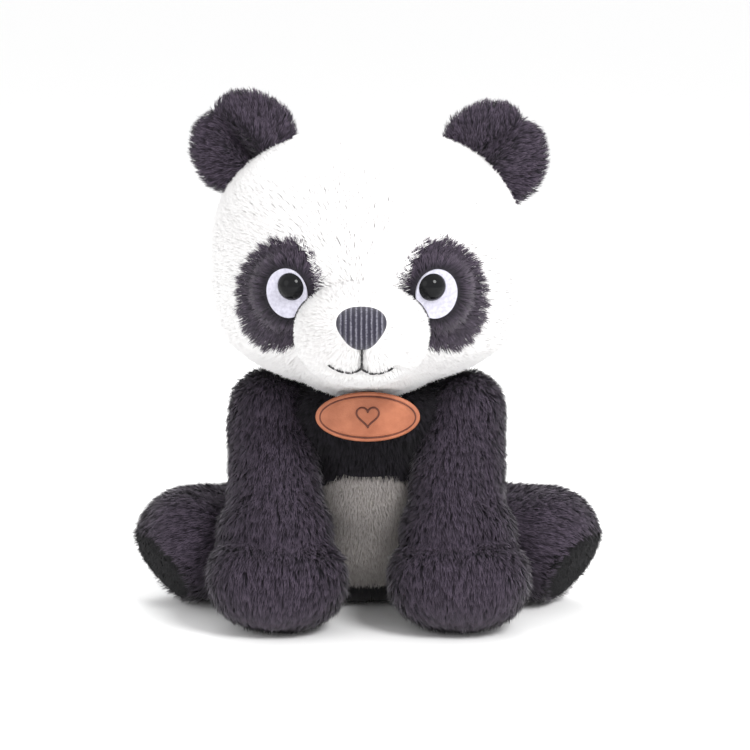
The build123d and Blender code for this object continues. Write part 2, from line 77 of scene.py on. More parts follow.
COVER = 2.5 * MM  # the plush cloth's thickness around a stuffing
head_low, head_high = corners("head_cover", "eye_patch_left", "eye_patch_right")
HEAD_DEEP = (head_high[1] - head_low[1]) / 2
HEAD = np.array([0, (head_high[1] + head_low[1]) / 2, head_high[2] - HEAD_DEEP])
HEAD_WIDE = corners("head_stuffing")[1][0] + COVER
MUZZLE = middle("muzzle_stuffing")
NOSE = middle("nose_cover")
FACE_X = NOSE[0]
FELT = {name: middle(f"eye_felt_{name}") for name in SIDES}
PATCH = {name: middle(f"eye_patch_{name}") for name in SIDES}
NECK = joint_point("head_turn")
SHOULDER = {name: joint_point(f"arm_{name}_swing") for name in SIDES}
HIP = {name: joint_point(f"leg_{name}_swing") for name in SIDES}


# ---- skins: closed padded forms -----------------------------------------------------------------
def mesh_object(name, mesh):
    made = bpy.data.objects.new(name, mesh)
    bpy.context.scene.collection.objects.link(made)
    return made


def applied(obj):
    """The object with its modifiers applied and taken off."""
    graph = bpy.context.evaluated_depsgraph_get()
    mesh = bpy.data.meshes.new_from_object(obj.evaluated_get(graph))
    mesh.name = obj.name
    obj.modifiers.clear()
    obj.data = mesh
    return obj


def coords(mesh):
    flat = np.empty(3 * len(mesh.vertices))
    mesh.vertices.foreach_get("co", flat)
    return flat.reshape(-1, 3)


def normals(mesh):
    flat = np.empty(3 * len(mesh.vertices))
    mesh.vertices.foreach_get("normal", flat)
    return flat.reshape(-1, 3)


def set_coords(mesh, points):
    mesh.vertices.foreach_set("co", np.ascontiguousarray(points, dtype=np.float64).ravel())
    mesh.update()


def round_form(name, centre, radii, power=2.0, detail=5):
    """A ball of triangles pulled out to a squarish egg."""
    bm = bmesh.new()
    bmesh.ops.create_icosphere(bm, subdivisions=detail, radius=1)
    mesh = bpy.data.meshes.new(name)
    bm.to_mesh(mesh)
    bm.free()
    way = coords(mesh)
    way /= np.linalg.norm(way, axis=1)[:, None]
    reach = (np.abs(way / np.array(radii)) ** power).sum(1) ** (-1 / power)
    set_coords(mesh, np.array(centre) + way * reach[:, None])
    return mesh_object(name, mesh)


def limb_form(name, start, end, start_radius, end_radius, rings=22, around=40):
    """A ball at each end and the tapered sleeve around both."""
    start, end = np.array(start), np.array(end)
    run = end - start
    length = np.linalg.norm(run)
    run = run / length
    side = np.cross(run, [1.0, 0.2, 0.1])
    side /= np.linalg.norm(side)
    other = np.cross(run, side)
    lean = math.asin((end_radius - start_radius) / length)
    bend = [-math.pi / 2 + (math.pi / 2 - lean) * i / rings for i in range(rings)]
    bend += [-lean + (math.pi / 2 + lean) * i / rings for i in range(rings + 1)]
    bm = bmesh.new()
    loops = []
    for i, turn in enumerate(bend):
        near = i < rings
        radius = start_radius if near else end_radius
        along = (0 if near else length) + radius * math.sin(turn)
        out = max(radius * math.cos(turn), 1e-6)
        angles = [2 * math.pi * k / around for k in range(around)]
        loops.append([
            bm.verts.new(start + run * along + out * (side * math.cos(a) + other * math.sin(a)))
            for a in angles
        ])
    for a, b in zip(loops, loops[1:]):
        for k in range(around):
            bm.faces.new((a[k], a[(k + 1) % around], b[(k + 1) % around], b[k]))
    bmesh.ops.remove_doubles(bm, verts=bm.verts, dist=1e-5)
    bmesh.ops.holes_fill(bm, edges=bm.edges)
    bmesh.ops.recalc_face_normals(bm, faces=bm.faces)
    mesh = bpy.data.meshes.new(name)
    bm.to_mesh(mesh)
    bm.free()
    return mesh_object(name, mesh)


def melted(name, forms, voxel=2.6 * MM, smooth=8):
    """Forms joined into one soft skin."""
    bm = bmesh.new()
    for form in forms:
        bm.from_mesh(form.data)
        bpy.data.objects.remove(form)
    mesh = bpy.data.meshes.new(name)
    bm.to_mesh(mesh)
    bm.free()
    skin = mesh_object(name, mesh)
    remesh = skin.modifiers.new("remesh", "REMESH")
    remesh.mode = "VOXEL"
    remesh.voxel_size = voxel
    soft = skin.modifiers.new("soft", "SMOOTH")
    soft.iterations = smooth
    soft.factor = 0.5
    return applied(skin)


def push(skin, amount):
    """Moves each point along its normal by what `amount` gives for the points and normals."""
    points, out = coords(skin.data), normals(skin.data)
    set_coords(skin.data, points + out * amount(points, out)[:, None])


def near_line(points, line):
    """Distance from each point to a line through several places."""
    best = np.full(len(points), 1e9)
    for a, b in zip(line, line[1:]):
        a, b = np.array(a), np.array(b)
        run = b - a
        t = np.clip(((points - a) @ run) / (run @ run), 0, 1)
        best = np.minimum(best, np.linalg.norm(points - a - t[:, None] * run, axis=1))
    return best


def crease(skin, line, depth, width):
    push(skin, lambda p, n: -depth * np.exp(-((near_line(p, line) / width) ** 2)))


def lumps(skin, size, height, seed):
    """Uneven stuffing: a few slow waves over the surface."""
    rng = np.random.default_rng(seed)
    waves = rng.normal(size=(7, 3))
    waves /= np.linalg.norm(waves, axis=1)[:, None]
    phase = rng.uniform(0, 2 * math.pi, 7)

    def amount(points, out):
        return height * np.sin(points @ waves.T * (2 * math.pi / size) + phase).mean(1) * 2

    push(skin, amount)


def smooth_shaded(obj):
    obj.data.polygons.foreach_set("use_smooth", np.ones(len(obj.data.polygons), dtype=bool))
    return obj


def padded_piece(skin, body, material, replaced):
    """A finished skin: kept off the floor, given its cloth, and set to ride on its body."""
    points = coords(skin.data)
    points[:, 2] = np.maximum(points[:, 2], FLOOR_CLEAR)
    set_coords(skin.data, points)
    smooth_shaded(skin)
    skin.data.materials.clear()
    skin.data.materials.append(material)
    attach(skin, body)
    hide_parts(*replaced)
    return skin


def cloth_from(skin, name, away, raised, material, body, replaced):
    """A piece of cloth that lies on a skin: the skin's own faces, less those where `away` says so."""
    cloth = mesh_object(name, skin.data.copy())
    bm = bmesh.new()
    bm.from_mesh(cloth.data)
    gone = away(np.array([v.co for v in bm.verts]))
    bmesh.ops.delete(bm, geom=[v for v, g in zip(bm.verts, gone) if g], context="VERTS")
    for v in bm.verts:
        v.co += v.normal * raised
    bm.to_mesh(cloth.data)
    bm.free()
    cloth.data.materials.clear()
    cloth.data.materials.append(material)
    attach(cloth, body)
    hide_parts(replaced)
    return cloth


# ---- pile: strands of cloth fibre, each a real folded ribbon ------------------------------------
FLOOR_CLEAR = 0.1 * MM
STRAND_POINTS = 5
STRAND_CORNERS = (0, 1, 3, 2, 2, 3, 4)  # a quad from the root to half way, then a triangle to the tip
UP_STRAND = (0.02, 0.02, 0.5, 0.5, 0.98)  # how far up the strand each point is, for its colour
BEND = 0.10  # the strand's middle stands out by this part of its length


def unit(v):
    return v / np.maximum(np.linalg.norm(v, axis=1), 1e-9)[:, None]


def pile(name, skin, body, material, comb, length, width, per_mm2, seed,
         where=None, lift=0.75, clump=2.6 * MM, gather=0.5, stray=0.28, twist=0.9):
    """Strands all over a skin (or only where `where` says), combed along `comb`.

    `lift` is how far they stand up, `clump` and `gather` the size and strength of the locks, `stray` how
    unevenly they lie, and `twist` how far the ribbons turn from lying flat.
    """
    rng = np.random.default_rng(seed)
    mesh = skin.data
    mesh.calc_loop_triangles()
    corners_of = np.empty(3 * len(mesh.loop_triangles), dtype=np.int64)
    mesh.loop_triangles.foreach_get("vertices", corners_of)
    corners_of = corners_of.reshape(-1, 3)
    points, out = coords(mesh), normals(mesh)
    a, b, c = (points[corners_of[:, i]] for i in range(3))
    area = np.linalg.norm(np.cross(b - a, c - a), axis=1) / 2
    density = per_mm2 * 1
    count = int(area.sum() / MM**2 * density)
    face = rng.choice(len(area), size=count, p=area / area.sum())
    mix = rng.dirichlet((1, 1, 1), size=count)
    picked = corners_of[face]
    root = (points[picked] * mix[:, :, None]).sum(1)
    normal = unit((out[picked] * mix[:, :, None]).sum(1))
    if where is not None:
        chosen = where(root, normal, rng.uniform(size=count))
        root, normal = root[chosen], normal[chosen]
        count = len(root)
    flow = comb(root, normal)
    flow = unit(flow - normal * (flow * normal).sum(1)[:, None])
    wander = rng.normal(size=(count, 3)) * stray
    way = unit(normal * lift + flow + wander)
    reach = length * rng.uniform(0.72, 1.12, count)
    tip = root + way * reach[:, None]
    # tips lean together in small locks
    cell = np.floor((root + rng.normal(size=(count, 3)) * clump * 0.22) / clump).astype(np.int64)
    key = cell[:, 0] * 73856093 ^ cell[:, 1] * 19349663 ^ cell[:, 2] * 83492791
    _, lock = np.unique(key, return_inverse=True)
    members = np.bincount(lock)
    lock_tip = np.stack([np.bincount(lock, tip[:, i]) / members for i in range(3)], axis=1)
    lock_turn = rng.normal(size=(len(members), 3)) * stray * 0.8
    aim = lock_tip[lock] + lock_turn[lock] * length * 0.5
    tip = tip + (aim - tip) * gather
    half = (root + tip) / 2 + normal * (length * BEND)
    run = unit(tip - root)
    turn = rng.uniform(-twist, twist, count)[:, None]
    across = unit(np.cross(run, normal))
    up = np.cross(across, run)
    across = unit(across * np.cos(turn) + up * np.sin(turn))
    wide = (width * rng.uniform(0.7, 1.3, count) / 2)[:, None]
    strands = np.stack([
        root - across * wide, root + across * wide,
        half - across * wide * 0.8, half + across * wide * 0.8, tip,
    ], axis=1)
    strands[:, :, 2] = np.maximum(strands[:, :, 2], FLOOR_CLEAR)
    shade_normal = unit(normal + run * 0.45 + across * turn * 0.25)
    obj = mesh_object(name, strand_mesh(name, strands, shade_normal, members, lock, rng))
    obj.data.materials.append(material)
    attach(obj, body)
    return obj


def strand_mesh(name, strands, shade_normal, members, lock, rng):
    """All the strands as one mesh; the UV map holds each strand's shade and the way up it."""
    count, per_strand = len(strands), len(STRAND_CORNERS)
    corners_of = (np.arange(count)[:, None] * STRAND_POINTS + np.array(STRAND_CORNERS)).ravel()
    start = (np.arange(count)[:, None] * per_strand + np.array([0, 4])).ravel()
    mesh = bpy.data.meshes.new(name)
    mesh.vertices.add(count * STRAND_POINTS)
    mesh.vertices.foreach_set("co", strands.ravel())
    mesh.loops.add(len(corners_of))
    mesh.loops.foreach_set("vertex_index", corners_of.astype(np.int32))
    mesh.polygons.add(2 * count)
    mesh.polygons.foreach_set("loop_start", start.astype(np.int32))
    mesh.update(calc_edges=True)
    mesh.polygons.foreach_set("use_smooth", np.ones(2 * count, dtype=bool))
    own = rng.uniform(size=count)
    lock_shade = rng.uniform(size=len(members))[lock]
    shade = np.clip(0.55 * lock_shade + 0.45 * own, 0.002, 0.998)
    uv = np.empty((count, per_strand, 2))
    uv[:, :, 0] = shade[:, None]
    uv[:, :, 1] = np.array(UP_STRAND)[np.array(STRAND_CORNERS)]
    layer = mesh.uv_layers.new(name="OFBake")
    layer.data.foreach_set("uv", uv.ravel())
    mesh.normals_split_custom_set_from_vertices(np.repeat(shade_normal, STRAND_POINTS, axis=0).tolist())
    return mesh


# ---- materials ----------------------------------------------------------------------------------
def shader(name, roughness, sheen=0.0, specular=0.3):
    """A new material with its node tree and its main shader."""
    material = bpy.data.materials.new(name)
    material.use_nodes = True
    tree = material.node_tree
    base = tree.nodes["Principled BSDF"]
    base.inputs["Roughness"].default_value = roughness
    base.inputs["Sheen Weight"].default_value = sheen
    base.inputs["Specular IOR Level"].default_value = specular
    return material, tree, base


def ramp(tree, stops):
    """A colour ramp through (place, colour) stops."""
    node = tree.nodes.new("ShaderNodeValToRGB")
    node.color_ramp.elements[0].position = stops[0][0]
    node.color_ramp.elements[0].color = (*stops[0][1], 1)
    node.color_ramp.elements[1].position = stops[-1][0]
    node.color_ramp.elements[1].color = (*stops[-1][1], 1)
    for place, colour in stops[1:-1]:
        node.color_ramp.elements.new(place).color = (*colour, 1)
    return node


def pile_material(name, low, mid, tip, vary=0.35, roughness=0.75, sheen=0.25):
    """Strand colour from root to tip, a little different on each strand."""
    material, tree, base = shader(name, roughness, sheen, 0.25)
    uv = tree.nodes.new("ShaderNodeUVMap")
    uv.uv_map = "OFBake"
    split = tree.nodes.new("ShaderNodeSeparateXYZ")
    tree.links.new(uv.outputs["UV"], split.inputs[0])
    along = ramp(tree, [(0.0, low), (0.5, mid), (1.0, tip)])
    tree.links.new(split.outputs["Y"], along.inputs["Fac"])
    each = ramp(tree, [(0.0, (1 - vary,) * 3), (1.0, (1, 1, 1))])
    tree.links.new(split.outputs["X"], each.inputs["Fac"])
    product = tree.nodes.new("ShaderNodeMix")
    product.data_type = "RGBA"
    product.blend_type = "MULTIPLY"
    product.inputs["Factor"].default_value = 1
    tree.links.new(along.outputs["Color"], product.inputs["A"])
    tree.links.new(each.outputs["Color"], product.inputs["B"])
    tree.links.new(product.outputs["Result"], base.inputs["Base Color"])
    return material


def cloth_material(name, dark, light, scale=900.0, bump=0.4, roughness=0.85, sheen=0.3, detail=4.0):
    """Backing cloth, felt or ribbon: a fine noise in colour and height."""
    material, tree, base = shader(name, roughness, sheen, 0.25)
    place = tree.nodes.new("ShaderNodeTexCoord")
    noise = tree.nodes.new("ShaderNodeTexNoise")
    noise.inputs["Scale"].default_value = scale
    noise.inputs["Detail"].default_value = detail
    tree.links.new(place.outputs["Object"], noise.inputs["Vector"])
    colour = ramp(tree, [(0.3, dark), (0.7, light)])
    tree.links.new(noise.outputs["Fac"], colour.inputs["Fac"])
    tree.links.new(colour.outputs["Color"], base.inputs["Base Color"])
    height = tree.nodes.new("ShaderNodeBump")
    height.inputs["Strength"].default_value = bump
    height.inputs["Distance"].default_value = 0.0004
    tree.links.new(noise.outputs["Fac"], height.inputs["Height"])
    tree.links.new(height.outputs["Normal"], base.inputs["Normal"])
    return material


def leather_material(name, dark, light, roughness=0.5):
    """Fine-grained leather: cell pattern for the pores, slow noise for the tan."""
    material, tree, base = shader(name, roughness, 0.0, 0.4)
    place = tree.nodes.new("ShaderNodeTexCoord")
    slow = tree.nodes.new("ShaderNodeTexNoise")
    slow.inputs["Scale"].default_value = 130
    slow.inputs["Detail"].default_value = 6
    pores = tree.nodes.new("ShaderNodeTexVoronoi")
    pores.inputs["Scale"].default_value = 1500
    for node in (slow, pores):
        tree.links.new(place.outputs["Object"], node.inputs["Vector"])
    colour = ramp(tree, [(0.3, dark), (0.72, light)])
    tree.links.new(slow.outputs["Fac"], colour.inputs["Fac"])
    tree.links.new(colour.outputs["Color"], base.inputs["Base Color"])
    height = tree.nodes.new("ShaderNodeBump")
    height.inputs["Strength"].default_value = 0.35
    height.inputs["Distance"].default_value = 0.0002
    tree.links.new(pores.outputs["Distance"], height.inputs["Height"])
    tree.links.new(height.outputs["Normal"], base.inputs["Normal"])
    return material


def corduroy_material(name, painted_valley_shade, painted_ridge_light, pitch):
    """Ribs run up and down: painted shade between them and painted light on their tops, with a fine pile."""
    material, tree, base = shader(name, 0.8, 0.4, 0.2)
    place = tree.nodes.new("ShaderNodeTexCoord")
    split = tree.nodes.new("ShaderNodeSeparateXYZ")
    tree.links.new(place.outputs["Object"], split.inputs[0])
    shift = tree.nodes.new("ShaderNodeMath")
    shift.operation = "SUBTRACT"
    shift.inputs[1].default_value = NOSE[0]
    tree.links.new(split.outputs["X"], shift.inputs[0])
    turn = tree.nodes.new("ShaderNodeMath")
    turn.operation = "MULTIPLY"
    turn.inputs[1].default_value = 2 * math.pi / pitch
    tree.links.new(shift.outputs[0], turn.inputs[0])
    wave = tree.nodes.new("ShaderNodeMath")
    wave.operation = "COSINE"
    tree.links.new(turn.outputs[0], wave.inputs[0])
    fuzz = tree.nodes.new("ShaderNodeTexNoise")
    fuzz.inputs["Scale"].default_value = 1300
    tree.links.new(place.outputs["Object"], fuzz.inputs["Vector"])
    mixed = tree.nodes.new("ShaderNodeMath")
    mixed.operation = "MULTIPLY_ADD"
    mixed.inputs[1].default_value = 2.2
    tree.links.new(fuzz.outputs["Fac"], mixed.inputs[0])
    tree.links.new(wave.outputs[0], mixed.inputs[2])
    # the ramp paints shade into the valleys between the ribs and light onto the rib tops
    colour = ramp(tree, [(0.0, painted_valley_shade), (0.55, painted_valley_shade), (1.0, painted_ridge_light)])
    scaled = tree.nodes.new("ShaderNodeMapRange")
    scaled.inputs["From Min"].default_value = -0.2
    scaled.inputs["From Max"].default_value = 2.5
    tree.links.new(mixed.outputs[0], scaled.inputs["Value"])
    tree.links.new(scaled.outputs["Result"], colour.inputs["Fac"])
    tree.links.new(colour.outputs["Color"], base.inputs["Base Color"])
    return material


DARK_PILE = pile_material(
    "dark pile", (0.012, 0.0085, 0.016), (0.046, 0.034, 0.055), (0.165, 0.125, 0.180), vary=0.5)
DARK_CHEST = pile_material(
    "chest pile", (0.003, 0.0025, 0.004), (0.008, 0.0065, 0.010), (0.028, 0.023, 0.033), 0.45, 0.8, sheen=0.1)
WHITE_PILE = pile_material(
    "white pile", (0.88, 0.865, 0.855), (0.93, 0.92, 0.915), (0.965, 0.96, 0.955), 0.04, 0.85, sheen=0.15)
# the belly's cream pile, dimmed to grey as painted shade between the arms
SHADED_BELLY_PILE = pile_material(
    "belly pile in painted shade", (0.26, 0.238, 0.225), (0.385, 0.355, 0.34), (0.52, 0.485, 0.47), 0.14, 0.85)
SOLE_PILE = pile_material(
    "sole pile", (0.0015, 0.0015, 0.002), (0.004, 0.0035, 0.005), (0.011, 0.01, 0.014), 0.4, 0.85, 0.05)
DARK_BACKING = cloth_material("dark backing", (0.006, 0.005, 0.008), (0.020, 0.016, 0.024))
WHITE_BACKING = cloth_material("white backing", (0.88, 0.865, 0.86), (0.93, 0.92, 0.915))
# the belly's cream backing, dimmed to grey as painted shade between the arms
SHADED_BELLY_BACKING = cloth_material("belly backing in painted shade", (0.24, 0.225, 0.205), (0.36, 0.34, 0.31))
SOLE_BACKING = cloth_material("sole backing", (0.002, 0.002, 0.003), (0.006, 0.005, 0.007), sheen=0.05)
# the eyes' white felt, its white dimmed to grey as painted shade
SHADED_FELT_WHITE = cloth_material(
    "white felt in painted shade", (0.44, 0.43, 0.51), (0.60, 0.59, 0.68), scale=700, bump=0.5, roughness=0.9, sheen=0.1)
THREAD = cloth_material("black thread", (0.006, 0.006, 0.007), (0.03, 0.028, 0.03), scale=2500)
RIBBON = cloth_material("label ribbon", (0.70, 0.69, 0.66), (0.86, 0.85, 0.82), scale=1800, bump=0.3)
STUFFING = cloth_material("stuffing", (0.72, 0.72, 0.72), (0.92, 0.92, 0.92), scale=260)
PELLETS = cloth_material("pellet bag cloth", (0.55, 0.54, 0.50), (0.75, 0.74, 0.70), scale=1400)
TAN = leather_material("tan leather", (0.30, 0.092, 0.042), (0.44, 0.152, 0.076))
BURNT = leather_material("burnt leather", (0.075, 0.018, 0.010), (0.15, 0.040, 0.022), roughness=0.6)
EYE_BLACK = shader("eye plastic", 0.05, 0.0, 0.15)[0]
WASHER_WHITE = shader("washer plastic", 0.4, 0.0, 0.5)[0]


def mottled(material, dark, light, scale):
    """Faint cloudiness in a moulded plastic."""
    tree = material.node_tree
    noise = tree.nodes.new("ShaderNodeTexNoise")
    noise.inputs["Scale"].default_value = scale
    colour = ramp(tree, [(0.35, dark), (0.65, light)])
    tree.links.new(noise.outputs["Fac"], colour.inputs["Fac"])
    tree.links.new(colour.outputs["Color"], tree.nodes["Principled BSDF"].inputs["Base Color"])


mottled(EYE_BLACK, (0.004, 0.004, 0.005), (0.008, 0.008, 0.009), 300)
mottled(WASHER_WHITE, (0.74, 0.74, 0.73), (0.82, 0.82, 0.81), 300)


# ---- combing ------------------------------------------------------------------------------------
def comb_from(centre, pull=(0, 0, 0)):
    """Pile that runs away from a place, with a steady pull added."""
    def comb(root, normal):
        return unit(root - np.array(centre)) + np.array(pull)
    return comb


def comb_along(start, end, pull=(0, 0, 0)):
    """Pile that runs one way, from start towards end, with a steady pull added."""
    run = np.array(end) - np.array(start)
    run = run / np.linalg.norm(run)

    def comb(root, normal):
        return np.tile(run + np.array(pull), (len(root), 1))
    return comb


def in_oval(root, centre, half_wide, half_high, tilt=0.0):
    """How far each point is from the middle of an oval seen from the front, 1 on its rim."""
    x, z = root[:, 0] - centre[0], root[:, 2] - centre[2]
    across = x * math.cos(tilt) + z * math.sin(tilt)
    up = -x * math.sin(tilt) + z * math.cos(tilt)
    return np.sqrt((across / half_wide) ** 2 + (up / half_high) ** 2)


def ragged(root, size, depth):
    """The size of an oval whose rim goes in and out a little."""
    return size + depth * np.sin(root[:, 2] * 900 + root[:, 0] * 700)


def from_line(root, point):
    """Distance of each point from the upright line through a place."""
    return np.linalg.norm(root[:, :2] - point[:2], axis=1)


# ---- head ---------------------------------------------------------------------------------------
HEAD_PILE = 4.8 * MM
HEAD_INSET = 3.2 * MM  # the skin lies this far inside the CAD's surface, and the pile fills it up
HEAD_POWER = 2.35
CHEEKS, CHIN, JOWL_LIFT, SOCKET = 3.0 * MM, 2.6 * MM, 4.4 * MM, 1.5 * MM
FELT_GAP = 0.25 * MM
NECK_HOLE = 22 * MM
PATCH_TILT = {name: math.radians(12) * side for name, side in SIDES.items()}
PATCH_SIZE = (17.2 * MM, 23.6 * MM)
FELT_SIZE = (9.2 * MM, 10.7 * MM)
MUZZLE_SIZE = np.array([27.5, 23.0, 21.5]) * MM
MUZZLE_POWER = 2.2
MUZZLE_BALL = np.array([FACE_X, HEAD[1] - 55 * MM, MUZZLE[2] - 0.4 * MM])


def patch_oval(root, name):
    return in_oval(root, PATCH[name], *PATCH_SIZE, PATCH_TILT[name])


def felt_oval(root, name):
    return in_oval(root, FELT[name], *FELT_SIZE)


def in_muzzle(root):
    return (np.abs((root - MUZZLE_BALL) / MUZZLE_SIZE) ** MUZZLE_POWER).sum(1) ** (1 / MUZZLE_POWER)


head_radii = np.array([HEAD_WIDE, HEAD_DEEP, HEAD_DEEP]) - HEAD_INSET
head_skin = round_form("head", HEAD, head_radii, HEAD_POWER, 6)


def head_shape(points, out):
    """Fuller cheeks and chin, jowls that rise to the sides, and a slight dip round each eye."""
    low = np.clip((HEAD[2] - points[:, 2]) / HEAD_DEEP, 0, 1)
    side = np.abs(points[:, 0] - HEAD[0]) / HEAD_WIDE
    amount = CHEEKS * np.exp(-((low - 0.42) / 0.3) ** 2) * np.clip(side - 0.35, 0, 1)
    amount += CHIN * np.clip((low - 0.35) / 0.5, 0, 1) * (points[:, 1] < HEAD[1] + 10 * MM)
    amount -= JOWL_LIFT * np.clip((low - 0.55) / 0.3, 0, 1) * np.clip((side - 0.18) / 0.22, 0, 1)
    front = points[:, 1] < HEAD[1]
    for name in SIDES:
        amount -= SOCKET * np.exp(-(patch_oval(points, name) / 0.9) ** 2) * front
    return amount


def felt_back(name):
    """The middle of the felt's back and the direction that it faces."""
    points = coords(frame["nodes"][f"eye_felt_{name}"].data)
    facing = np.linalg.svd(points - points.mean(0), full_matrices=False)[2][2]
    facing *= -np.sign(facing[1])
    return points.mean(0) + facing * ((points - points.mean(0)) @ facing).min(), facing


def flatten_behind_felt(skin, name):
    """Lays the skin against the felt's back, easing off around it."""
    points = coords(skin.data)
    back, facing = felt_back(name)
    share = np.clip((1.55 - felt_oval(points, name)) / 0.45, 0, 1) * (points[:, 1] < HEAD[1])
    share = share * share * (3 - 2 * share)
    off = (points - back) @ facing + FELT_GAP
    set_coords(skin.data, points - facing * (off * share)[:, None])


push(head_skin, head_shape)
for name in SIDES:
    flatten_behind_felt(head_skin, name)
lumps(head_skin, 90 * MM, 0.8 * MM, 3)


def head_white(root, normal, dice):
    """White pile grows where there is no patch, muzzle or neck."""
    keep = in_muzzle(root) > 0.97
    for name in SIDES:
        keep &= ~((patch_oval(root, name) < ragged(root, 1.0, 0.03)) & (root[:, 1] < HEAD[1]))
    return keep & ~((from_line(root, NECK) < NECK_HOLE) & (root[:, 2] < HEAD[2]))


head_comb = comb_from((FACE_X, HEAD[1] - HEAD_DEEP, HEAD[2] - 12 * MM), (0, 0.25, -0.15))
padded_piece(head_skin, "head", WHITE_BACKING, ["head_cover", "head_stuffing"])


def head_white_front(root, normal, dice):
    return head_white(root, normal, dice) & (root[:, 1] < HEAD[1])


def head_white_back(root, normal, dice):
    return head_white(root, normal, dice) & (root[:, 1] >= HEAD[1])


pile("head_pile_front", head_skin, "head", WHITE_PILE, head_comb, HEAD_PILE,
     0.44 * MM, 3.7, 11, head_white_front, lift=0.36, clump=2.4 * MM, gather=0.14, stray=0.14, twist=0.2)
pile("head_pile_back", head_skin, "head", WHITE_PILE, head_comb, HEAD_PILE,
     0.40 * MM, 1.7, 12, head_white_back, lift=0.45, clump=2.4 * MM, gather=0.25, stray=0.2)

for name, side in SIDES.items():
    def off_patch(spots, name=name):
        return (patch_oval(spots, name) > 1.0) | (spots[:, 1] > HEAD[1]) | (in_muzzle(spots) < 0.93)

    cloth_from(head_skin, f"eye_patch_cloth_{name}", off_patch, 0.15 * MM, DARK_BACKING,
               "head", f"eye_patch_{name}")

    def patch_pile_here(root, normal, dice, name=name):
        inside = (patch_oval(root, name) < ragged(root, 0.99, 0.04)) & (root[:, 1] < HEAD[1])
        return inside & (felt_oval(root, name) > 1.0) & (in_muzzle(root) > 0.95)

    eye_comb = comb_from(FELT[name] + np.array([0, -4 * MM, 0]), (side * 0.25, 0.1, 0))
    pile(f"eye_patch_pile_{name}", head_skin, "head", DARK_PILE, eye_comb, 5.0 * MM,
         0.32 * MM, 3.2, 21 + side, patch_pile_here, lift=0.5, clump=2.2 * MM, gather=0.45)

# ---- muzzle and mouth ---------------------------------------------------------------------------
MOUTH_Z = middle("mouth_stitches")[2] - 4.6 * MM
MOUTH_GROOVE, MOUTH_WIDE = 1.3 * MM, 1.5 * MM
THREAD_RADIUS = 0.48 * MM
SMILE_MM = ((-14.0, 3.4), (-10.5, 1.2), (-7.0, 0.2), (-3.5, 0.1), (0, 2.0),
            (3.5, -0.2), (7.0, -0.4), (10.5, 0.4), (13.5, 2.2))  # across from the middle, and up
UPRIGHT_MM = (12.0, 8.0, 4.8, 1.8)
muzzle_skin = round_form("muzzle", MUZZLE_BALL, MUZZLE_SIZE, MUZZLE_POWER, 6)


def muzzle_front(x, z):
    """The muzzle skin's front at x, z."""
    across = np.abs((x - MUZZLE_BALL[0]) / MUZZLE_SIZE[0]) ** MUZZLE_POWER
    up = np.abs((z - MUZZLE_BALL[2]) / MUZZLE_SIZE[2]) ** MUZZLE_POWER
    return MUZZLE_BALL[1] - MUZZLE_SIZE[1] * np.maximum(1 - across - up, 0) ** (1 / MUZZLE_POWER)


def at_front(across, up):
    """A place on the muzzle's front, in millimetres from the middle of the mouth."""
    x, z = FACE_X + across * MM, MOUTH_Z + up * MM
    return (x, muzzle_front(x, z), z)


SMILE = [at_front(across, up) for across, up in SMILE_MM]
UPRIGHT = [at_front(0.2, up) for up in UPRIGHT_MM]
for line in (SMILE, UPRIGHT):
    crease(muzzle_skin, line, MOUTH_GROOVE, MOUTH_WIDE)

nose_low, nose_high = corners("nose_cover")
NOSE_HALF = (nose_high[0] - nose_low[0]) / 2
NOSE_TALL = (nose_high[2] - nose_low[2]) / 2


NOSE_GROW = 1.04


def nose_rim(turn):
    """A rounded triangle: an arched top, two soft corners and a soft point below."""
    return (0.972 + 0.067 * np.sin(turn) - 0.018 * np.cos(2 * turn) + 0.073 * np.sin(3 * turn)) / NOSE_GROW


def muzzle_white(root, normal, dice):
    """White pile grows outside the head, clear of the mouth and the nose."""
    seen = ((root - HEAD) / np.array([HEAD_WIDE, HEAD_DEEP, HEAD_DEEP]))
    mouth = np.minimum(near_line(root, SMILE), near_line(root, UPRIGHT)) > 0.45 * MM
    turn = np.arctan2((root[:, 2] - NOSE[2]) / NOSE_TALL, (root[:, 0] - NOSE[0]) / NOSE_HALF)
    nose = in_oval(root, NOSE, NOSE_HALF, NOSE_TALL) > nose_rim(turn) * 1.03
    return ((seen**2).sum(1) > 0.86) & mouth & (nose | (root[:, 1] > MUZZLE_BALL[1]))


padded_piece(muzzle_skin, "head", WHITE_BACKING, ["muzzle_cover", "muzzle_stuffing"])
pile("muzzle_pile", muzzle_skin, "head", WHITE_PILE,
     comb_from(NOSE + np.array([0, -6 * MM, 3 * MM]), (0, 0.2, 0)), 3.4 * MM, 0.30 * MM, 4.0, 31,
     muzzle_white, lift=0.38, clump=2.0 * MM, gather=0.2, stray=0.16, twist=0.25)


def thread_piece(name, lines, radius, body, material, replaced):
    """Thread of one thickness along each line, as one mesh."""
    bm = bmesh.new()
    for line in lines:
        curve = bpy.data.curves.new(name, "CURVE")
        curve.dimensions = "3D"
        curve.bevel_depth = radius
        curve.bevel_resolution = 3
        curve.use_fill_caps = True
        spline = curve.splines.new("NURBS")
        spline.points.add(len(line) - 1)
        for point, place in zip(spline.points, line):
            point.co = (*place, 1)
        spline.order_u = 3
        spline.use_endpoint_u = True
        temp = bpy.data.objects.new(name, curve)
        bpy.context.scene.collection.objects.link(temp)
        bm.from_mesh(bpy.data.meshes.new_from_object(temp))
        bpy.data.objects.remove(temp)
    mesh = bpy.data.meshes.new(name)
    bm.to_mesh(mesh)
    bm.free()
    obj = smooth_shaded(mesh_object(name, mesh))
    obj.data.materials.append(material)
    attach(obj, body)
    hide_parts(*replaced)
    return obj


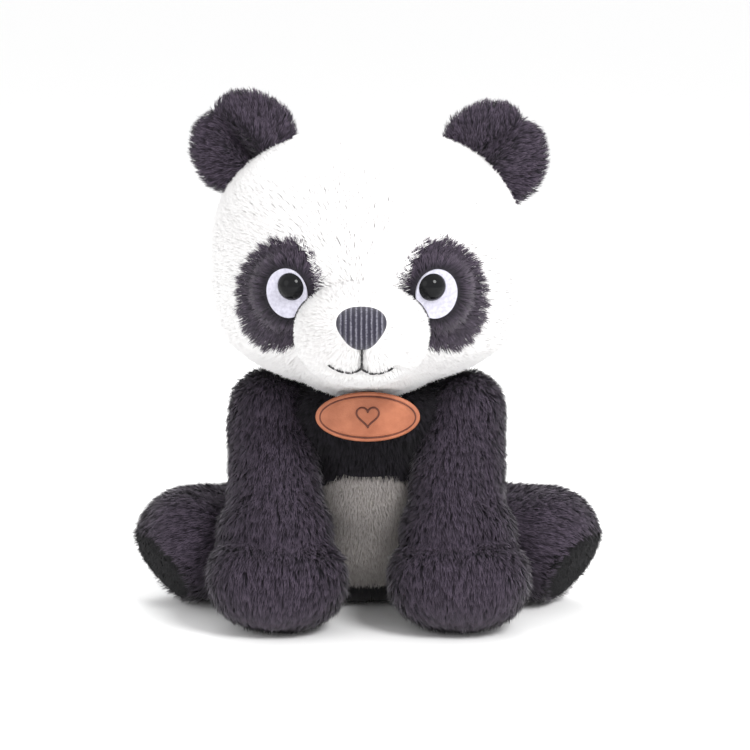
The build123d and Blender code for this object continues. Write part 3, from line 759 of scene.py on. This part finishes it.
def stitches(line, count, out=1.2 * MM, sunk=-0.5 * MM):
    """Short threads along a line: each stands out in the middle and dives in at both ends."""
    line = np.array(line)
    run = np.concatenate([[0], np.cumsum(np.linalg.norm(np.diff(line, axis=0), axis=1))])
    made = []
    for k in range(count):
        places = run[-1] * (k + np.array([0.06, 0.2, 0.5, 0.8, 0.94])) / count
        spots = np.stack([np.interp(places, run, line[:, i]) for i in range(3)], axis=1)
        spots[:, 1] -= np.array([sunk, out, out, out, sunk])
        made.append(spots.tolist())
    return made


thread_piece("mouth_thread", stitches(SMILE[:5], 4) + stitches(SMILE[4:], 4) + stitches(UPRIGHT, 3),
             THREAD_RADIUS, "head", THREAD, ["mouth_stitches"])

# ---- nose: a rounded triangle of corduroy -------------------------------------------------------
RIB = 2.15 * MM
RIB_HIGH = 0.42 * MM
NOSE_DOME = 3.4 * MM


def nose_mesh(around=300, rings=56):
    """A ribbed dome on the muzzle's front, closed behind."""
    turn = np.linspace(0, 2 * math.pi, around, endpoint=False)
    part = (np.arange(1, rings + 1) / rings) ** 0.75
    rho, ang = np.meshgrid(part, turn, indexing="ij")
    x = NOSE[0] + NOSE_HALF * rho * nose_rim(ang) * np.cos(ang) * NOSE_GROW
    z = NOSE[2] + NOSE_TALL * rho * nose_rim(ang) * np.sin(ang) * NOSE_GROW
    ribs = 0.5 * (1 + np.cos(2 * math.pi * (x - NOSE[0]) / RIB))
    dome = NOSE_DOME * (1 - rho**3.2) ** 0.6 + RIB_HIGH * ribs * np.clip((1.02 - rho) * 12, 0, 1)
    y = muzzle_front(x, z) - dome + 0.2 * MM
    y = np.where(rho > 0.999, y + 1.0 * MM, y)
    tip = [NOSE[0], muzzle_front(NOSE[0], NOSE[2]) - NOSE_DOME - 0.2 * MM - RIB_HIGH, NOSE[2]]
    back = [NOSE[0], y.max() + 0.5 * MM, NOSE[2]]
    points = np.concatenate([[tip], np.stack([x, y, z], -1).reshape(-1, 3), [back]])
    last = len(points) - 1
    faces = [(0, 1 + (k + 1) % around, 1 + k) for k in range(around)]
    for r in range(rings - 1):
        a, b = 1 + r * around, 1 + (r + 1) * around
        faces += [(a + k, a + (k + 1) % around, b + (k + 1) % around, b + k) for k in range(around)]
    a = 1 + (rings - 1) * around
    faces += [(a + k, a + (k + 1) % around, last) for k in range(around)]
    mesh = bpy.data.meshes.new("nose")
    mesh.from_pydata(points.tolist(), [], faces)
    mesh.update()
    return mesh


# slate corduroy whose colour carries painted shade between the ribs and painted light on their tops
CORDUROY = corduroy_material("slate corduroy", (0.018, 0.016, 0.030), (0.205, 0.200, 0.245), RIB)
nose = mesh_object("nose", nose_mesh())
padded_piece(nose, "head", CORDUROY, ["nose_cover", "nose_padding"])

# ---- eyes and hidden parts keep their own shape ---------------------------------------------------
for node, obj in frame["nodes"].items():
    for words, material in (
        ("eye_felt", SHADED_FELT_WHITE), ("eye_button", EYE_BLACK), ("eye_washer", WASHER_WHITE),
        ("stuffing", STUFFING), ("padding", STUFFING), ("pellet_bag", PELLETS), ("tag_backing", BURNT),
    ):
        if words in node:
            obj.data.materials.clear()
            obj.data.materials.append(material)


# ---- ears: two quilted lenses with a fold down the middle -----------------------------------------
def ear_frame(name):
    """The middle of the ear's foot, and the directions along the foot and up."""
    joint = next(j for j in frame["joints"] if j["name"] == f"ear_{name}_bend")
    along = np.array(joint["axis"], dtype=float)
    along *= np.sign(along[0])
    up = np.array([-along[2], 0, along[0]])
    foot = np.array(joint["pos_m"])
    return foot, along, up


EAR_RADIUS = 22.6 * MM
EAR_SUNK = 9.0 * MM
EAR_THICK = 4.6 * MM
EAR_CUP = {"right": 9.5 * MM, "left": 7.0 * MM}
EAR_FOLD = -1.5 * MM  # the fold's place along the foot
FOLD_WIDE = 4.5 * MM
LOBE_AT, LOBE_WIDE, LOBE_HIGH = 7 * MM, 5 * MM, 2.4 * MM  # the fuller side beside the fold
EAR_NOTCH = 0.10
EAR_DISH = 4.5 * MM
EAR_FOOT = -1 * MM

for name, side in SIDES.items():
    foot, along, up = ear_frame(name)
    heart = foot + up * EAR_SUNK
    skin = round_form(f"ear_{name}", (0, 0, 0), (EAR_RADIUS, EAR_THICK, EAR_RADIUS), 2.0, 5)
    across, depth, high = coords(skin.data).T
    rim = np.hypot(across, high) / EAR_RADIUS
    off_fold = across - EAR_FOLD
    crest = np.exp(-((off_fold / FOLD_WIDE) ** 2))
    fold = crest * np.clip(1.35 - (high + EAR_RADIUS) / (2 * EAR_RADIUS), 0, 1)
    lobe = np.exp(-(((off_fold - LOBE_AT) / LOBE_WIDE) ** 2))
    depth = depth + EAR_CUP[name] * fold * np.clip(1.06 - rim, 0, 1) ** 0.4
    depth = depth - LOBE_HIGH * lobe * np.clip(1 - rim, 0, 1) ** 0.5
    depth = depth + EAR_DISH * (0.6 - rim**2)
    notch = 1 - EAR_NOTCH * crest * np.clip(high / EAR_RADIUS, 0, 1)
    across, high = across * notch, high * notch
    low = np.clip((-high - EAR_SUNK * 0.4) / EAR_RADIUS, 0, 1)  # the foot is gathered in
    across = across * (1 - 0.25 * low)
    high = np.maximum(high, -EAR_SUNK - 4 * MM)
    world = heart + across[:, None] * along + high[:, None] * up
    world[:, 1] += depth
    set_coords(skin.data, world)
    bm = bmesh.new()
    bm.from_mesh(skin.data)
    bmesh.ops.recalc_face_normals(bm, faces=bm.faces)
    bm.to_mesh(skin.data)
    bm.free()
    padded_piece(skin, f"ear_{name}", DARK_BACKING,
                 [f"ear_front_{name}", f"ear_back_{name}"])

    def free_ear(root, normal, dice, foot=foot, up=up):
        return ((root - foot) @ up) > EAR_FOOT

    def ear_comb(root, normal, foot=foot, along=along, up=up):
        """Up from the foot, parted at the fold."""
        off = ((root - foot) @ along - EAR_FOLD) / (4 * MM)
        part = off * np.exp(0.5 - off**2 / 2)
        return unit(root - (foot - up * 2 * MM)) + part[:, None] * along * 0.8 + np.array([0, -0.15, 0])

    pile(f"ear_pile_{name}", skin, f"ear_{name}", DARK_PILE, ear_comb, 5.2 * MM, 0.30 * MM, 3.2,
         41 + side, free_ear, lift=0.55, clump=2.4 * MM, gather=0.5)

# ---- torso, neck and belly ----------------------------------------------------------------------
BARE_BASE = 3 * MM  # no pile below this, where the toy rests
torso_low, torso_high = corners("torso_cover")
SEAT_Y = (torso_low[1] + torso_high[1]) / 2 + 4 * MM
torso_forms = [
    round_form("seat", (0, SEAT_Y - 1 * MM, 30 * MM), (38.5 * MM, 38.5 * MM, 29.5 * MM), 2.3),
    round_form("chest", (0, SEAT_Y - 10 * MM, 70 * MM), (33 * MM, 32 * MM, 30 * MM), 2.1),
    round_form("collar", (0, NECK[1] - 1 * MM, 88 * MM), (41 * MM, 27 * MM, 18.0 * MM), 2.2),
    round_form("belly", (0, SEAT_Y - 6 * MM, 50 * MM), (36.5 * MM, 36 * MM, 32 * MM), 2.1),
]
torso_skin = melted("torso", torso_forms, 2.6 * MM, 40)
lumps(torso_skin, 80 * MM, 0.7 * MM, 7)
PANEL = middle("belly_panel")
PANEL_HALF = (corners("belly_panel")[1] - corners("belly_panel")[0]) / 2
PANEL_WIDE, PANEL_POWER = 25.5 * MM, 2.8


def on_belly(root):
    """Inside the belly panel's squarish outline, on the front."""
    x, z = (root[:, 0] - PANEL[0]) / PANEL_WIDE, (root[:, 2] - PANEL[2]) / PANEL_HALF[2]
    return (np.abs(x) ** PANEL_POWER + np.abs(z) ** PANEL_POWER < 1) & (root[:, 1] < SEAT_Y)


STRAP_LOW, STRAP_HIGH = corners("tag_strap")
NECK_RADIUS = 21.5 * MM


def clear_of_neck(root):
    """Away from the neck's cup and from the strap, which needs bare cloth to lie on."""
    strap = (np.abs(root[:, 0]) < STRAP_HIGH[0] + 1.5 * MM) & (root[:, 1] < 0)
    strap &= root[:, 2] > STRAP_LOW[2] - 3 * MM
    return (np.linalg.norm(root - NECK, axis=1) > NECK_RADIUS) & ~strap


def torso_dark(root, normal, dice):
    return ~on_belly(root) & clear_of_neck(root) & (root[:, 2] > BARE_BASE)


def torso_belly(root, normal, dice):
    return on_belly(root) & (root[:, 2] > BARE_BASE)


padded_piece(torso_skin, "torso", DARK_BACKING, ["torso_cover", "torso_stuffing"])
pile("torso_pile", torso_skin, "torso", DARK_CHEST, comb_from(NECK, (0, 0, -0.8)), 6.0 * MM,
     0.36 * MM, 2.0, 51, torso_dark)

# the belly cloth and its pile carry painted shade: their cream is dimmed to grey
belly = cloth_from(torso_skin, "belly_cloth", lambda spots: ~on_belly(spots), 0.4 * MM, SHADED_BELLY_BACKING,
                   "torso", "belly_panel")
pile("belly_pile", belly, "torso", SHADED_BELLY_PILE, comb_from(NECK, (0, 0, -0.8)), 3.2 * MM,
     0.34 * MM, 3.2, 57, torso_belly, lift=0.5, clump=2.0 * MM, gather=0.25)

neck_skin = round_form("neck", NECK, (NECK_RADIUS,) * 3, 2.0, 5)
padded_piece(neck_skin, "neck", DARK_BACKING, ["neck_cover", "neck_stuffing"])


def low_front_neck(root, normal, dice):
    strap = (np.abs(root[:, 0]) < STRAP_HIGH[0] + 1 * MM) & (root[:, 1] < NECK[1])
    return (root[:, 2] < NECK[2] + 2 * MM) & ~strap


pile("neck_pile", neck_skin, "neck", DARK_CHEST, comb_from(NECK + np.array([0, 0, 30 * MM])),
     3.5 * MM, 0.45 * MM, 1.0, 61, low_front_neck, lift=0.4)

# ---- arms ---------------------------------------------------------------------------------------
ARM_INSET = 2.6 * MM
SLEEVE_TOP, SLEEVE_END = 20.5 * MM, 22.5 * MM
PAW_WIDE, PAW_RADIUS = 31 * MM, 23.5 * MM
PAW_FRONT = corners("arm_cover_left")[0][1]
PAW_OUT, PAW_UP = 39.5 * MM, 23.7 * MM
WRIST_AT = 0.72  # this far down the arm
WRIST_FOLD_MM = ((-20, -14, -1), (0, -20, 2), (22, -6, 1))
SLIM = {"right": 1.8 * MM, "left": 3.4 * MM}  # each upper arm lies in by this much

for name, side in SIDES.items():
    shoulder = SHOULDER[name]
    paw = np.array([side * PAW_OUT, PAW_FRONT + PAW_RADIUS, PAW_UP])
    wrist = shoulder + (paw - shoulder) * WRIST_AT
    slim = np.array([-side * SLIM[name], 0, 0])
    shoulder_middle = shoulder + np.array([-side * 1.5, 2, 5.5]) * MM
    paw_radii = (PAW_WIDE - ARM_INSET, PAW_RADIUS - ARM_INSET, PAW_RADIUS - ARM_INSET - 0.4 * MM)
    forms = [
        limb_form("sleeve", shoulder + slim, paw + slim * 0.5, SLEEVE_TOP - ARM_INSET, SLEEVE_END - ARM_INSET),
        round_form("shoulder", shoulder_middle, (16.5 * MM, 18 * MM, 17 * MM)),
        round_form("paw", paw, paw_radii, 2.25),
        round_form("forearm", wrist + slim * 0.4, (23.5 * MM, 20.5 * MM, 21 * MM)),
    ]
    skin = melted(f"arm_{name}", forms, 2.4 * MM, 12)
    bend_at = wrist + np.array([0, -4 * MM, 0])
    wrist_fold = [bend_at + np.array([side * x, y, z]) * MM for x, y, z in WRIST_FOLD_MM]
    crease(skin, wrist_fold, 1.3 * MM, 4.0 * MM)
    front = paw + np.array([side * 3 * MM, -PAW_RADIUS, -2 * MM])
    crease(skin, [front + np.array([0, 0, 5 * MM]), front - np.array([0, 0, 6 * MM])], 1.4 * MM, 2.6 * MM)
    if side > 0:  # only the left sleeve's seam faces the front
        seam = [shoulder + (paw - shoulder) * t + np.array([side * (6 + 3 * t) * MM, -(18 + 2 * t) * MM, 0])
                for t in (0.1, 0.4, 0.7, 1.0)]
        crease(skin, seam, 1.5 * MM, 2.0 * MM)
    lumps(skin, 60 * MM, 0.7 * MM, 71 + side)
    padded_piece(skin, f"arm_{name}", DARK_BACKING,
                 [f"arm_cover_{name}", f"arm_stuffing_{name}"])

    down = comb_along(shoulder, paw, (side * 0.15, -0.25, -0.2))
    pile(f"arm_pile_{name}", skin, f"arm_{name}", DARK_PILE, down, 6.5 * MM, 0.30 * MM, 3.2,
         75 + side, lift=0.62, clump=2.6 * MM, gather=0.5)

# ---- legs ---------------------------------------------------------------------------------------
LEG_INSET = 3.2 * MM
HIP_RADIUS, FOOT_RADIUS = 25.2 * MM, 27 * MM
SOLE_FACES = np.array([0.72, -0.5, -0.48])
SOLE_FACES /= np.linalg.norm(SOLE_FACES)
SOLE_AT = 16.5 * MM  # the foot's flat, out from the foot's middle
SOLE_BACK = 1.3 * MM
SOLE_RADIUS, SOLE_DOME = 18.8 * MM, 3.2 * MM
SOLE_PRESS = 0.9

for name, side in SIDES.items():
    facing = SOLE_FACES * np.array([side, 1, 1])
    hip = HIP[name]
    foot = middle(f"sole_pad_{name}") - facing * (SOLE_AT + SOLE_BACK)
    form = limb_form("leg", hip, foot, HIP_RADIUS - LEG_INSET, FOOT_RADIUS - LEG_INSET)
    skin = melted(f"leg_{name}", [form], 2.4 * MM, 4)
    shape = coords(skin.data)
    past_sole = np.clip((shape - foot) @ facing - (SOLE_AT - 0.5 * MM), 0, None)
    set_coords(skin.data, shape - facing * (SOLE_PRESS * past_sole)[:, None])
    lumps(skin, 60 * MM, 0.6 * MM, 81 + side)
    padded_piece(skin, f"leg_{name}", DARK_BACKING,
                 [f"leg_cover_{name}", f"leg_stuffing_{name}"])

    def leg_seen(root, normal, dice, hip=hip, foot=foot, facing=facing):
        """Neither under the sole nor inside the torso."""
        ahead = (root - foot) @ facing
        off_axis = np.linalg.norm(root - foot - ahead[:, None] * facing, axis=1)
        sole = (ahead > 14.2 * MM) & (off_axis < 18.5 * MM)
        buried = np.linalg.norm(root - np.array([0, hip[1], hip[2]]), axis=1) < 42 * MM
        return ~sole & ~buried & (root[:, 2] > BARE_BASE)

    pile(f"leg_pile_{name}", skin, f"leg_{name}", DARK_PILE,
         comb_along(hip, foot, (facing * 0.4).tolist()), 6.5 * MM, 0.30 * MM, 3.0, 91 + side, leg_seen,
         lift=0.62, clump=2.6 * MM, gather=0.5)

    # the sole: a low dome of short black velvet
    pad = round_form(f"sole_{name}", (0, 0, 0), (SOLE_RADIUS, SOLE_RADIUS, SOLE_DOME), 2.6, 5)
    turn = Vector((0, 0, 1)).rotation_difference(Vector(facing.tolist())).to_matrix()
    place = coords(pad.data) @ np.array(turn).T + foot + facing * (SOLE_AT - SOLE_BACK)
    set_coords(pad.data, place)
    padded_piece(pad, f"leg_{name}", SOLE_BACKING, [f"sole_pad_{name}"])

    def sole_front(root, normal, dice, facing=facing):
        return (normal @ facing) > 0.15

    pile(f"sole_pile_{name}", pad, f"leg_{name}", SOLE_PILE, comb_along((0, 0, 0), (0, 0, -1)),
         2.0 * MM, 0.36 * MM, 3.2, 97 + side, sole_front, lift=0.9, gather=0.25)

# ---- tail ---------------------------------------------------------------------------------------
TAIL = middle("tail_cover")
tail_skin = round_form("tail", TAIL, (10.0 * MM,) * 3, 2.0, 4)
padded_piece(tail_skin, "tail", WHITE_BACKING, ["tail_cover", "tail_stuffing"])


def tail_seen(root, normal, dice):
    return root[:, 1] > TAIL[1] - 4 * MM


pile("tail_pile", tail_skin, "tail", WHITE_PILE, comb_from(TAIL - np.array([0, 12 * MM, 0])),
     5.0 * MM, 0.42 * MM, 2.2, 101, tail_seen, lift=0.8)

# ---- leather tag --------------------------------------------------------------------------------
tag_low, tag_high = corners("tag_front")
TAG = (tag_low + tag_high) / 2
TAG_HALF = (tag_high - tag_low) / 2
TAG_FRONT = tag_low[1]
TAG_EDGE = 0.9 * MM  # the rim rounds over by this much
RING_IN, RING_DEEP, RING_WIDE = 1.9 * MM, 0.3 * MM, 0.6 * MM
RING_THREAD, HEART_THREAD = 0.36 * MM, 0.42 * MM
HEART_SIZE = 5.2 * MM


def on_tag(turn, part=1.0, inset=0.0):
    """Across and up from the tag's middle to a place on an oval."""
    return (TAG_HALF[0] - inset) * part * math.cos(turn), (TAG_HALF[2] - inset) * part * math.sin(turn)


def tag_plate(name, around=160, rings=40):
    """An oval plate whose front rounds over at the rim, with a pressed ring."""
    turns = [2 * math.pi * k / around for k in range(around)]
    points, faces = [], []
    for r in range(rings + 1):
        from_rim = (1 - r / rings) * TAG_HALF[2]
        roll = TAG_EDGE * (1 - math.sqrt(max(0, 1 - (1 - min(from_rim / TAG_EDGE, 1)) ** 2)))
        ring = RING_DEEP * math.exp(-((from_rim - RING_IN) / RING_WIDE) ** 2)
        for turn in turns:
            x, z = on_tag(turn, r / rings)
            points.append((TAG[0] + x, TAG_FRONT + roll + ring, TAG[2] + z))
    for r in range(rings):
        for k in range(around):
            a, b = r * around + k, r * around + (k + 1) % around
            faces.append((a, b, b + around, a + around))
    base = len(points)
    for turn in turns:
        x, z = on_tag(turn)
        points.append((TAG[0] + x, tag_high[1], TAG[2] + z))
    last = rings * around
    for k in range(around):
        faces.append((last + k, last + (k + 1) % around, base + (k + 1) % around, base + k))
    faces.append(tuple(base + k for k in range(around)))
    mesh = bpy.data.meshes.new(name)
    mesh.from_pydata(points, [], faces)
    bm = bmesh.new()
    bm.from_mesh(mesh)
    bmesh.ops.remove_doubles(bm, verts=bm.verts, dist=1e-6)
    bmesh.ops.recalc_face_normals(bm, faces=bm.faces)
    bm.to_mesh(mesh)
    bm.free()
    made = smooth_shaded(mesh_object(name, mesh))
    made.data.materials.append(TAN)
    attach(made, "tag")
    return made


plate = tag_plate("tag_leather")
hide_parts("tag_front")


def burnt_line(name, points, radius):
    """A closed dark line lying in the leather."""
    curve = bpy.data.curves.new(name, "CURVE")
    curve.dimensions = "3D"
    curve.bevel_depth = radius
    curve.bevel_resolution = 2
    spline = curve.splines.new("POLY")
    spline.points.add(len(points) - 1)
    for point, spot in zip(spline.points, points):
        point.co = (*spot, 1)
    spline.use_cyclic_u = True
    temp = bpy.data.objects.new(name, curve)
    bpy.context.scene.collection.objects.link(temp)
    mesh = bpy.data.meshes.new_from_object(temp)
    bpy.data.objects.remove(temp)
    made = smooth_shaded(mesh_object(name, mesh))
    made.data.materials.append(BURNT)
    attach(made, "tag")
    return made


def tag_ring():
    for turn in np.linspace(0, 2 * math.pi, 120, endpoint=False):
        x, z = on_tag(turn, 1.0, RING_IN)
        yield TAG[0] + x, TAG_FRONT + 0.12 * MM, TAG[2] + z


def tag_heart():
    turns = np.linspace(0, 2 * math.pi, 60, endpoint=False)
    across = 16 * np.sin(turns) ** 3
    rise = 13 * np.cos(turns) - 5 * np.cos(2 * turns) - 2 * np.cos(3 * turns) - np.cos(4 * turns)
    for a, r in zip(across, rise):
        yield TAG[0] + a * HEART_SIZE / 17, TAG_FRONT - 0.02 * MM, TAG[2] + (r + 2) * HEART_SIZE / 17


burnt_line("tag_ring", list(tag_ring()), RING_THREAD)
burnt_line("tag_heart", list(tag_heart()), HEART_THREAD)

# ---- strap and label keep the CAD's shape ---------------------------------------------------------
for node, material in (("tag_strap", TAN), ("care_label", RIBBON)):
    obj = frame["nodes"][node]
    obj.data.materials.clear()
    obj.data.materials.append(material)

# ---- floor, light, camera -----------------------------------------------------------------------
FLOOR_HALF = 30
FLOOR_WHITE, _, floor_shader = shader("floor white", 0.9, 0.0, 0.1)
floor_shader.inputs["Base Color"].default_value = (0.93, 0.93, 0.93, 1)
floor_mesh = bpy.data.meshes.new("floor")
floor_corners = [(x * FLOOR_HALF, y * FLOOR_HALF, 0) for x, y in ((-1, -1), (1, -1), (1, 1), (-1, 1))]
floor_mesh.from_pydata(floor_corners, [], [(0, 1, 2, 3)])
floor = mesh_object("floor", floor_mesh)
floor.data.materials.append(FLOOR_WHITE)

SKY = 1.06
world = bpy.data.worlds.new("studio")
bpy.context.scene.world = world
world.use_nodes = True
world.node_tree.nodes["Background"].inputs["Color"].default_value = (1, 1, 1, 1)
world.node_tree.nodes["Background"].inputs["Strength"].default_value = SKY
bpy.context.scene.view_settings.view_transform = "Standard"


def area_light(name, place, aim, size, power):
    """A round soft light at a place, aimed at another."""
    light = bpy.data.lights.new(name, "AREA")
    light.shape = "DISK"
    light.size = size
    light.energy = power
    lamp = bpy.data.objects.new(name, light)
    bpy.context.scene.collection.objects.link(lamp)
    lamp.location = place
    lamp.rotation_mode = "QUATERNION"
    lamp.rotation_quaternion = (Vector(aim) - Vector(place)).to_track_quat("-Z", "Y")


area_light("key", (0.75, -1.05, 1.15), (0, 0, 0.12), 0.6, 21)
area_light("fill", (-1.1, -0.9, 0.7), (0, 0, 0.1), 1.0, 3)
area_light("rim", (0.1, 0.9, 1.2), (0, 0, 0.12), 0.9, 9)

CAMERA_AIM = Vector((0.00315, 0, 0.1051))
CAMERA_AWAY = 1.1
CAMERA_TILT = math.radians(10)
camera = bpy.data.cameras.new("camera")
camera.lens = 117.3
camera.sensor_width = 36
eye = bpy.data.objects.new("camera", camera)
bpy.context.scene.collection.objects.link(eye)
eye.location = CAMERA_AIM + Vector((0, -math.cos(CAMERA_TILT), math.sin(CAMERA_TILT))) * CAMERA_AWAY
eye.rotation_mode = "QUATERNION"
eye.rotation_quaternion = (CAMERA_AIM - eye.location).to_track_quat("-Z", "Y")
bpy.context.scene.camera = eye
